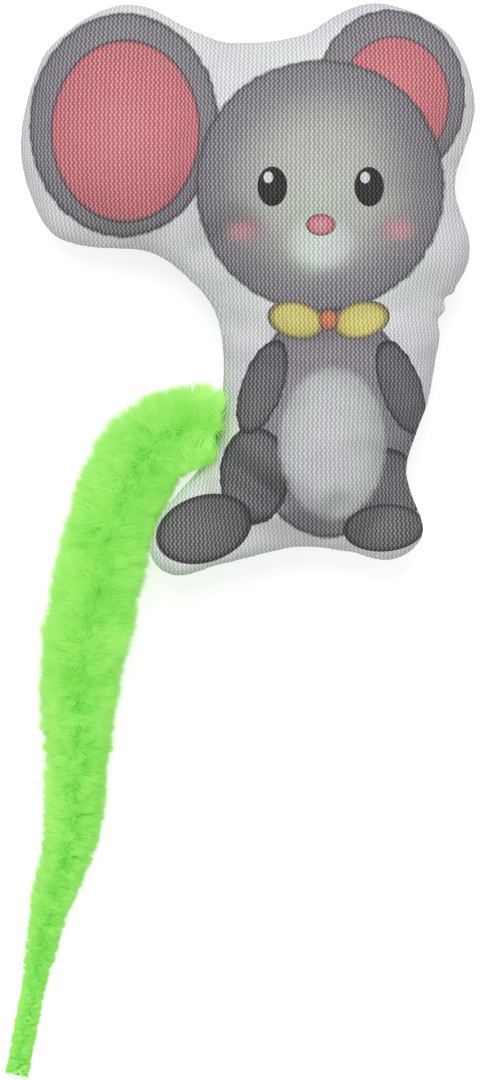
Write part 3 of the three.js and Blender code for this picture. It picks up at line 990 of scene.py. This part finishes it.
def tuft_reach(distance, angle, height, puff, chance):
    """How far each tuft's tip stands from the tail's middle line."""
    teeth = RIDGE_DEPTH * height * (1 - RIDGE_LOSS_BY_FOOT * np.maximum(np.cos(angle), 0))
    inner = np.cos(angle) * (1 - eased(distance, *CURL_ENDS))
    length = TUFT_LENGTH + LENGTH_SPREAD * chance.random(len(distance))
    return pile_radius(distance) * (length + teeth + PUFF_DEPTH * puff - INNER_TRIM * inner)


# %% Lean of the tufts, as angles
SEAM_LEAN = math.radians(-10)
SEAM_EVEN, SEAM_ON_TOP, SEAM_BY_FOOT = 0.35, 0.9, 0.5
SEAM_STRETCH = 11 * MM
PILE_LEAN = math.radians(-16)
END_LEAN = math.radians(55)
END_STRETCH = 4 * MM
UPHILL_LEAN = 0.4
STRAY_LEAN, STRAY_SIZE = 0.9, 2.8 * MM
MATTED_LEAN = 0.5
LEAN_SPREAD = 0.1
THIN_RADIUS, THIN_TWIST = (3 * MM, 8 * MM), (0.4, 0.16)


def tuft_leans(distance, angle, surface, height, matted, chance):
    """How far each tuft leans along the tail and how far round it."""
    settled_in = eased(distance, 0, SEAM_STRETCH)
    seam_share = SEAM_EVEN + SEAM_ON_TOP * np.maximum(np.sin(angle), 0) - SEAM_BY_FOOT * np.cos(angle)
    lean = SEAM_LEAN * seam_share * (1 - settled_in) + PILE_LEAN * settled_in
    lean = lean + END_LEAN * eased(distance, TAIL_LENGTH - END_STRETCH, TAIL_LENGTH)
    uphill = ridge(distance + RIDGE_SIZE / 4, angle) - height
    stray_lean = STRAY_LEAN * settled_in * wavy(surface, STRAY_SIZE, 3)
    stray_twist = STRAY_LEAN * settled_in * wavy(surface, STRAY_SIZE, 4)
    lean = lean + UPHILL_LEAN * uphill + stray_lean + MATTED_LEAN * matted
    lean = lean + chance.normal(0, LEAN_SPREAD, len(distance))
    looseness = np.interp(pile_radius(distance), THIN_RADIUS, THIN_TWIST)
    twist = stray_twist + MATTED_LEAN * matted
    twist = twist + chance.normal(0, 1, len(distance)) * looseness
    return lean, twist


# %% Blades of the tufts
TUFT_WIDTH = 0.45 * MM
FLOOR_LEVEL = 0.15 * MM
# Painted shade: each blade is darker towards its root, deep in the pile
PAINTED_ROOT_SHADE = 0.62


def tuft_mesh(name, root, tip, outward, around, tone_with_painted_light):
    """A blade for each tuft, from its root to its tip, that carries how pale it is, with painted shade
    towards its root.
    """
    x, y, z = (tuft_points[:, i][None, :, None] for i in range(3))
    across = around * TUFT_WIDTH
    thick = np.cross(outward, around) * TUFT_WIDTH
    points = root[:, None] + x * across[:, None] + y * thick[:, None] + z * (tip - root)[:, None]
    points[..., 2] = np.maximum(points[..., 2], FLOOR_LEVEL)
    faces = tuft_faces[None] + (np.arange(len(root)) * len(tuft_points))[:, None, None]
    mesh = bpy.data.meshes.new(name)
    mesh.from_pydata(points.reshape(-1, 3), [], faces.reshape(-1, 3))
    tone_and_shade = PAINTED_ROOT_SHADE * tuft_points[:, 2][None, :] + tone_with_painted_light[:, None]
    tones = mesh.attributes.new("tone_and_shade", "FLOAT", "POINT")
    tones.data.foreach_set("value", tone_and_shade.astype(np.float32).ravel())
    return mesh


# %% Set the pile
BINDING_START = TAIL_LENGTH - 3.4 * MM
BINDING_RADIUS = 1.8 * MM
NEAR_CUSHION = 65 * MM
PUFF_SIZE = 9 * MM
ROOT_TONE, TONE_SPREAD = 0.08, 0.15
# Painted light and shade: pile on ridges and puffs is paler, and pile in the grooves darker
RIDGE_SHADE, PUFF_LIGHT = 0.12, 0.12
# Painted shade on the side of the tail towards the foot
FOOT_SIDE_SHADE = 0.14
# A small matted spot where the tail is sewn in
MATTED_SPOT = np.array(Vector((-28.5, -5.5, 22)) * MM)
MATTED_SIZE = 2.6 * MM
# Painted highlight: the pile of the matted spot is paler
MATTED_SHINE = 0.35


def pile(name, start, end, per_area, seed):
    """A stretch of pile from one distance along the tail to another."""
    chance = np.random.default_rng(seed)
    count = int(per_area * (end - start) * 2 * math.pi * mean_radius(start, end))
    distance = chance.uniform(start, end, count)
    angle = chance.uniform(0, 2 * math.pi, count)
    radius = pile_radius(distance)
    centre = on_line(line, distance)
    forward = on_line(along, distance)
    outward = away_from_line(distance, angle)
    around = np.cross(forward, outward)
    surface = centre + outward * radius[:, None]
    height = ridge(distance, angle)
    puff = wavy(surface, PUFF_SIZE, 2)
    matted = np.exp(-(np.linalg.norm(surface - MATTED_SPOT, axis=1) / MATTED_SIZE) ** 2)
    reach = tuft_reach(distance, angle, height, puff, chance)
    lean, twist = tuft_leans(distance, angle, surface, height, matted, chance)

    root_radius = np.where(distance < BINDING_START, CORE_DIAMETER / 2, BINDING_RADIUS)
    root = centre + outward * root_radius[:, None]
    direction = outward + forward * np.tan(lean)[:, None] + around * np.tan(twist)[:, None]
    direction /= np.linalg.norm(direction, axis=1)[:, None]
    tip = root + direction * (reach - root_radius)[:, None]
    lock, strength = locks(surface, start, end, chance)
    meeting = centre + (lock - centre) * (reach / radius)[:, None]
    tip += (meeting - tip) * strength[:, None]
    close = distance < NEAR_CUSHION
    tip[close] = kept_out(tip[close])

    # The tone: a random spread, painted light on ridges and puffs with painted shade in the grooves, a
    # painted highlight on the matted spot and painted shade on the side towards the foot
    tone_with_painted_light = ROOT_TONE + chance.uniform(0, TONE_SPREAD, count) + RIDGE_SHADE * height + PUFF_LIGHT * puff
    tone_with_painted_light += MATTED_SHINE * matted - FOOT_SIDE_SHADE * np.maximum(np.cos(angle), 0)
    piece = linked(name, tuft_mesh(name, root, tip, outward, around, tone_with_painted_light))
    print(name, count, "tufts,", len(piece.data.polygons), "triangles")
    return piece


# %% [markdown]
# Neon dye takes in light that the eye doesn't see and gives it back as green, so the pile looks brighter
# than any plain dye could. A weak emission in the same colour stands for that, and it is also painted
# light:
# it brightens the shaded pile as light passing through the fibres would, and tints the cloth beside it.

# %% Green pile
# The ramp turns the tone into green: its dark end shows the painted shade, its pale end the painted light
PILE_COLORS = [
    (0.0, (104, 197, 66)), (0.4, (149, 228, 104)), (0.75, (182, 237, 133)), (1.0, (208, 244, 161)),
]
GLOW = 0.19

green = Recipe("green_pile")
tone_and_shade = green.add("Attribute", {"attribute_name": "tone_and_shade"}).outputs["Fac"]
mixed = green.math("MULTIPLY_ADD", green.noise(green.place(), 90, 2), 0.3, tone_and_shade)
pile_color = green.ramp(mixed, seen(PILE_COLORS))
green.feed(green.shader.inputs["Emission Color"], pile_color)
green_pile = green.finish(pile_color, Roughness=0.9, Sheen_Weight=0.2, Emission_Strength=GLOW)
print("green pile: glows with a strength of", GLOW)

# %% [markdown]
# The pile is cut between the bends, one piece to a bend.

# %% Pile, piece by piece
PILE_PER_AREA = 20.0 / MM**2
BEND_SHARES = {"sweep": 0.074, "lift": 0.21, "middle": 0.426, "tip": 0.648}
TIP_SHARE = 0.76
PILE_END = TAIL_LENGTH - 0.5 * MM
PILES = [
    ("pile_at_root", "sweep", ("mouse", "tail_root"), ("tail_collar_sweep", "tail_pile_root")),
    ("pile_upper", "lift", ("tail_root", "tail_upper"), ("tail_collar_lift", "tail_pile_upper")),
    ("pile_middle", "middle", ("tail_upper", "tail_middle"), ("tail_collar_middle", "tail_pile_middle")),
    ("pile_lower", "tip", ("tail_middle", "tail_end"), ("tail_collar_tip",)),
    ("pile_tip", None, ("tail_end",), ("tail_pile_tip",)),
]
bend_at = {name: share * TAIL_LENGTH for name, share in BEND_SHARES.items()}
bends = list(bend_at.values())
pile_cuts = [0, *((a + b) / 2 for a, b in zip(bends, bends[1:])), TAIL_LENGTH * TIP_SHARE, PILE_END]


def hand_over(piece, bend, bodies, slot, *replaced):
    """Bakes its place into a stretch of the tail that has a bend, or puts it on its one body, and hides the
    CAD parts it replaces.
    """
    if bend:
        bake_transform(piece)
    else:
        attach(piece, bodies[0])
    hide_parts(*replaced)


for i, (name, bend, bodies, replaced) in enumerate(PILES):
    piece = pile(name, pile_cuts[i], pile_cuts[i + 1], PILE_PER_AREA, i + 1)
    piece.data.materials.append(green_pile)
    hand_over(piece, bend, bodies, "green_pile", *replaced)

# %% [markdown]
# The tail's core is two dark cords twisted round each other. A curve with a round bevel makes a strand
# from its middle line, and its evaluated mesh is kept. The strands are cut where the pile is.

# %% Helpers for strands
TURN_POINTS = 12


def strands(name, lines, radius, material):
    """Round strands along lines of points, as one mesh object."""
    curve = bpy.data.curves.new(name, "CURVE")
    curve.dimensions = "3D"
    curve.bevel_depth = radius
    curve.bevel_resolution = 1
    curve.use_fill_caps = True
    for points in lines:
        spline = curve.splines.new("POLY")
        spline.points.add(len(points) - 1)
        for knot, point in zip(spline.points, points):
            knot.co = (*point, 1)
    bent = linked(name, curve)
    mesh = applied(bent)
    bpy.data.objects.remove(bent)
    mesh.materials.append(material)
    return linked(name, mesh)


def wound(start, end, radius, pitch, phase):
    """Points on a helix round the tail's middle line."""
    distance = np.arange(start, end, pitch / TURN_POINTS)
    angle = 2 * math.pi * distance / pitch + phase
    return on_line(line, distance) + radius * away_from_line(distance, angle)


def twisted_look(name, light, dark, size):
    """Thread or cord: fine slanting plies in two tones."""
    recipe = Recipe(name)
    plies = recipe.noise(recipe.moved(recipe.place(), scale=(1, 0.4, 1)), size, 2)
    recipe.bump(plies, 0.1 * MM, 0.7)
    return recipe.finish(recipe.blend(plies, dark, light), Roughness=0.75, Sheen_Weight=0.3)


dark_cord = twisted_look("dark_cord", linear(92, 118, 74), linear(34, 48, 30), 2600)
white_thread = twisted_look("white_thread", linear(244, 244, 240), linear(196, 198, 194), 3400)

# %% Core of the tail
CORD_PITCH = 3.6 * MM
CORE_START = 2.3 * MM
ANCHOR_SIZE = Vector((15, 8, 0.5)) * MM
ANCHOR_OUTSIDE = 4 * MM
ANCHOR_ROUNDING = 0.12 * MM
CORES = [
    ("core_at_root", "tail_anchor"), ("core_upper", "tail_core_root"), ("core_middle", "tail_core_upper"),
    ("core_lower", "tail_core_middle"), ("core_tip", "tail_core_tip"),
]


def flattened_end():
    """The cord's flattened end, which lies between the layers of the seam."""
    tab = bmesh.new()
    bmesh.ops.create_cube(tab, size=1)
    bmesh.ops.scale(tab, verts=tab.verts, vec=ANCHOR_SIZE)
    bmesh.ops.bevel(
        tab, geom=tab.edges, offset=ANCHOR_ROUNDING, segments=2, profile=0.5, affect="EDGES", material=-1
    )
    inwards = Vector((ANCHOR_SIZE.x / 2 - ANCHOR_OUTSIDE, 0, SEAM_HEIGHT))
    bmesh.ops.translate(tab, verts=tab.verts, vec=tail_root + inwards)
    return tab


ends = [CORE_START, *pile_cuts[1:-1], TAIL_LENGTH]
for i, (name, node) in enumerate(CORES):
    lines = [wound(ends[i], ends[i + 1], CORE_DIAMETER / 4, CORD_PITCH, phase) for phase in (0, math.pi)]
    piece = strands(name, lines, CORE_DIAMETER / 4, dark_cord)
    if i == 0:
        # Joined from two finished meshes, as faces added after a bevel can change order from run to run
        tab_mesh = mesh_from("flattened_end", flattened_end())
        joined = bmesh.new()
        for part in (tab_mesh, piece.data):
            joined.from_mesh(part)
        joined.to_mesh(piece.data)
        joined.free()
        bpy.data.meshes.remove(tab_mesh)
    _, bend, bodies, _ = PILES[i]
    hand_over(piece, bend, bodies, "dark_cord", node)
print("core:", len(CORES), "stretches of twisted cord")

# %% [markdown]
# A few turns of thread bind the pile at the tip. The seam's own thread runs in short stitches between the
# layers, and the closing stretch is caught by stitches over the edge.

# %% Binding and stitches
THREAD_RADIUS = 0.25 * MM
THREAD_DEPTH = 0.95 * MM
BINDING_PITCH = 0.42 * MM
BINDING_END = TAIL_LENGTH - 0.9 * MM
STITCH_LENGTH = 2.1 * MM
STITCH_SHARE = 0.8
TAIL_GAP = 0.012

binding_line = wound(BINDING_START, BINDING_END, BINDING_RADIUS - THREAD_RADIUS, BINDING_PITCH, 0)
binding = strands("binding", [binding_line], THREAD_RADIUS, dark_cord)
stands_for(binding, "tip_binding", body="tail_end")

seam_line = [point - out * THREAD_DEPTH for point, out in zip(outline, outwards)]


def seam_point(share):
    """A point on the thread's way, from its share of the way round."""
    at = share * SEAM_COUNT
    i = int(at)
    point = seam_line[i % SEAM_COUNT].lerp(seam_line[(i + 1) % SEAM_COUNT], at - i)
    return Vector((point.x, point.y, SEAM_HEIGHT))


def stitches(name, start, end, node):
    """A row of short straight stitches along the seam."""
    count = round((end - start) * SEAM_COUNT * CLOTH_SPACING * STITCH_SHARE / STITCH_LENGTH)
    step = (end - start) / count
    starts = [start + step * k for k in range(count)]
    rows = [[seam_point(at), seam_point(at + step * STITCH_SHARE)] for at in starts]
    stands_for(strands(name, rows, THREAD_RADIUS, white_thread), node)
    print(name, count, "stitches")


stitches("stitches_round_ears", TAIL_GAP, CLOSING_SHARES[0], "seam_thread_upper")
stitches("stitches_round_feet", CLOSING_SHARES[1], 1 - TAIL_GAP, "seam_thread_lower")

# %% Stitches of the closing
CLOSING_STITCH_COUNT = 9
CLOSING_POINTS = 9
CLOSING_TURN = 0.62
CLOSING_SLANT = 0.5 * MM
CLOSING_THREAD_RADIUS = 0.16 * MM
STITCH_REACH = 0.9 * MM
STITCH_INSET = 0.35 * MM
STITCH_LIFT = 1.0 * MM


def closing_stitch(k):
    """One slanting stitch that goes over the edge from front to back."""
    way = CLOSING_SHARES[0] + (CLOSING_SHARES[1] - CLOSING_SHARES[0]) * (k + 0.5) / CLOSING_STITCH_COUNT
    i = round(way * SEAM_COUNT)
    out, ahead = outwards[i], (outline[i + 1] - outline[i]).normalized()
    middle = outline[i] - out * STITCH_INSET + Vector((0, 0, SEAM_HEIGHT))
    points = []
    for turn in np.linspace(-CLOSING_TURN, CLOSING_TURN, CLOSING_POINTS):
        reach = STITCH_REACH * (math.cos(turn * math.pi) - 1)
        lift = STITCH_LIFT * math.sin(turn * math.pi)
        points.append(middle + out * reach + ahead * (CLOSING_SLANT * turn) + Vector((0, 0, lift)))
    return points


over_edge = [closing_stitch(k) for k in range(CLOSING_STITCH_COUNT)]
closing = strands("closing_stitches", over_edge, CLOSING_THREAD_RADIUS, white_thread)
stands_for(closing, "closing_thread")
print("closing:", CLOSING_STITCH_COUNT, "stitches over the edge")

# %% [markdown]
# The catnip lies in a small pouch of nonwoven cloth in the middle of the belly. Two creased discs meet at
# its rim, round a lump of crumbled leaf.

# %% Catnip pouch
SHEET_INSET, SHEET_THICKNESS = 0.8 * MM, 0.35 * MM
SHEET_CREASES = (3.2 * MM, 0.22 * MM)
RIM_GRAIN = 0.1 * MM
LEAF_INSET = 2.6 * MM
LEAF_CRUMBS = (1.6 * MM, 0.8 * MM)
POUCH_DETAIL = 5
LEAF_COLORS = [(0.0, (78, 88, 42)), (0.6, (122, 128, 66)), (1.0, (158, 150, 96))]


def creased(larger, size, depth):
    """The pouch's shape, each point moved in or out by a smooth random amount."""
    shape = flat_ball(larger, POUCH_DETAIL)
    shape.normal_update()
    for vert in shape.verts:
        vert.co += vert.normal * depth * noise.noise(vert.co / size)
    return shape


def pouch_sheet(name, drop, node):
    """One sheet of the pouch: what is left when the other side is dropped."""
    sheet = creased(-SHEET_INSET, *SHEET_CREASES)
    cut(sheet, (0, 0, SEAM_HEIGHT), drop)
    bmesh.ops.remove_doubles(sheet, verts=sheet.verts, dist=RIM_GRAIN)
    for face in sheet.faces:
        face.smooth = True
    piece = linked(name, mesh_from(name, sheet))
    wall = piece.modifiers.new("sheet thickness", "SOLIDIFY")
    wall.thickness = SHEET_THICKNESS
    wall.offset = 1
    piece.data.materials.append(pouch_cloth)
    stands_for(piece, node)


nonwoven = Recipe("pouch_cloth")
fibres = nonwoven.noise(nonwoven.place(), 1500, 4, 0.7)
nonwoven.bump(fibres, 0.1 * MM, 0.6)
pouch_color = nonwoven.blend(fibres, linear(196, 186, 160), linear(232, 226, 208))
pouch_cloth = nonwoven.finish(pouch_color, Roughness=0.95)
pouch_sheet("pouch_front", (0, 0, -1), "catnip_pouch_front")
pouch_sheet("pouch_back", (0, 0, 1), "catnip_pouch_back")

leaf = Recipe("dried_catnip")
crumbs = leaf.add("TexVoronoi", None, Vector=leaf.place(), Scale=900.0)
leaf.bump(crumbs.outputs["Distance"], 0.5 * MM, 1.0)
leaf_tone = leaf.add("SeparateColor", None, Color=crumbs.outputs["Color"]).outputs["Red"]
catnip = linked("crumbled_catnip", mesh_from("crumbled_catnip", creased(-LEAF_INSET, *LEAF_CRUMBS)))
catnip.data.materials.append(leaf.finish(leaf.ramp(leaf_tone, seen(LEAF_COLORS)), Roughness=1.0))
stands_for(catnip, "dried_catnip")
print("pouch: two sheets round", len(catnip.data.polygons), "faces of crumbled leaf")

# %% [markdown]
# The floor is plain and pale. For the camera it glows a little under its own light, so that it reads as
# white paper while the toy's soft shadow stays on it.

# %% Floor
FLOOR_REACH = 3
PAPER_GLOW = 0.7

floor_shape = bmesh.new()
bmesh.ops.create_grid(floor_shape, x_segments=1, y_segments=1, size=FLOOR_REACH)
floor = linked("floor", mesh_from("floor", floor_shape))

paper = Recipe("floor_paper")
path = paper.add("LightPath").outputs
direct = paper.math("MAXIMUM", path["Is Camera Ray"], path["Is Glossy Ray"])
direct = paper.math("MAXIMUM", direct, path["Is Transmission Ray"])
paper.feed(paper.shader.inputs["Emission Strength"], paper.math("MULTIPLY", direct, PAPER_GLOW))
paper.finish(grey(0.5), Roughness=1.0, Emission_Color=grey(1.0), Specular_IOR_Level=0.0)
floor.data.materials.append(paper.material)
print("floor:", 2 * FLOOR_REACH, "m wide")

# %% [markdown]
# One wide soft lamp hangs beyond the ears, so that soft shadows fall towards the feet, and an even white
# room fills them.

# %% Light
ROOM_LIGHT = 0.6
SOFTBOX_PLACE, SOFTBOX_AIM = Vector((-0.12, 0.65, 1.2)), Vector((-0.02, -0.02, 0))
SOFTBOX_SIZE, SOFTBOX_POWER = 0.9, 9

world = bpy.data.worlds.new("studio")
world.use_nodes = True
bpy.context.scene.world = world
background = world.node_tree.nodes["Background"]
background.inputs["Color"].default_value = grey(1.0)
background.inputs["Strength"].default_value = ROOM_LIGHT

softbox = bpy.data.lights.new("key", "AREA")
softbox.shape = "DISK"
softbox.size = SOFTBOX_SIZE
softbox.energy = SOFTBOX_POWER
lamp = linked("key", softbox)
lamp.location = SOFTBOX_PLACE
lamp.rotation_euler = (SOFTBOX_AIM - SOFTBOX_PLACE).to_track_quat("-Z", "Y").to_euler()
bpy.context.scene.view_settings.view_transform = "Standard"
print("light: one softbox and an even room")

# %% Finish
nodes["tack_thread"].data.materials.clear()
nodes["tack_thread"].data.materials.append(white_thread)
